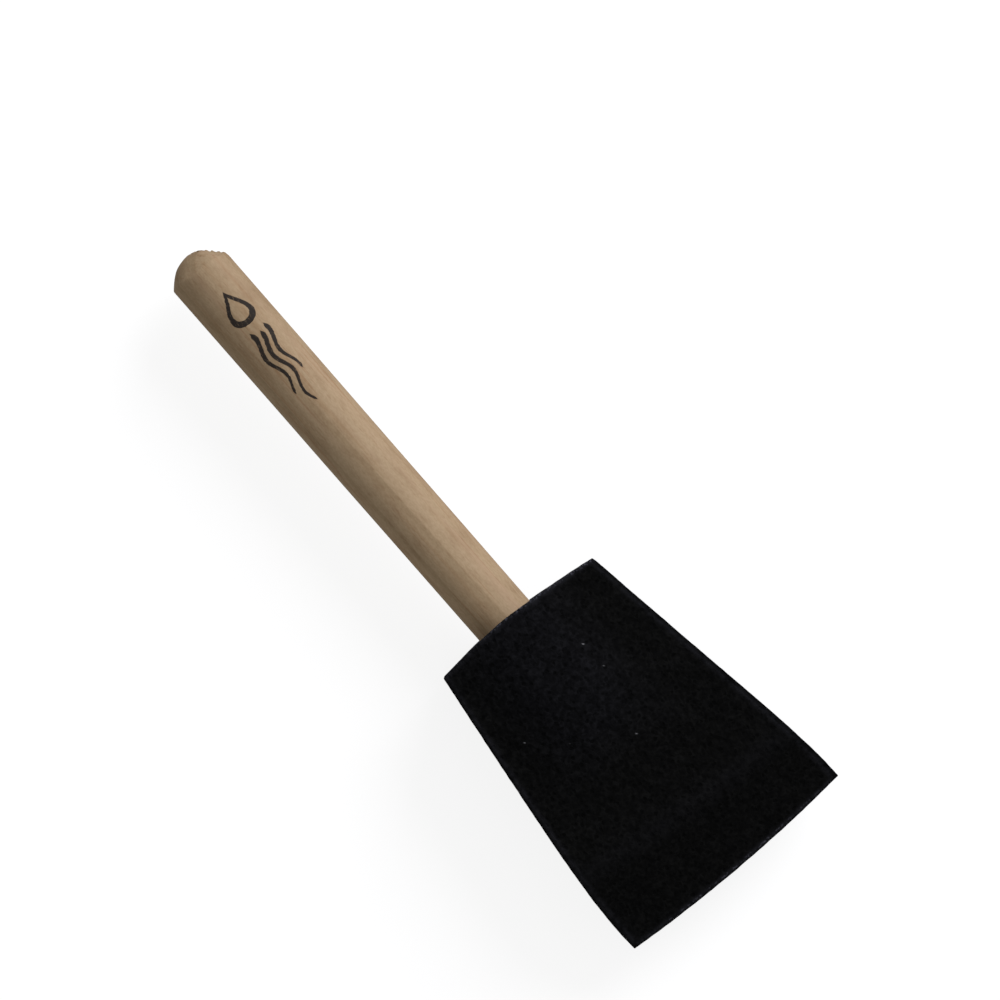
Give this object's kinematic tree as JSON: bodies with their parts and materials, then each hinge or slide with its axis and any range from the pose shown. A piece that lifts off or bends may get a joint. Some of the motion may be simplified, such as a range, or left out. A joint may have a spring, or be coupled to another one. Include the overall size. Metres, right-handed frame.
{
  "type": "foam brush",
  "caption": "Foam brush for paint and stain: a flared black foam head with a chisel tip, glued over a flat insert on a round wooden dowel handle with a domed butt.",
  "frame": {"origin": "under the middle of the brush's box, on the surface that the head lies on", "axes": "+X along the handle from its butt to the working edge, +Y across the head, +Z through the head's thickness"},
  "size_m": [0.1566, 0.0509, 0.022],
  "materials": {
    "beech": "bare sanded hardwood with a worn dark print",
    "natural_plastic": "moulded, undyed",
    "black_foam": "open-cell polyurethane foam, matt black",
    "hot_melt": "set hot-melt glue, amber"
  },
  "bodies": {
    "root": {"handle": "beech", "insert": "natural_plastic", "foam_head": "black_foam", "head_adhesive": "hot_melt", "handle_adhesive": "hot_melt"}
  },
  "joints": []
}
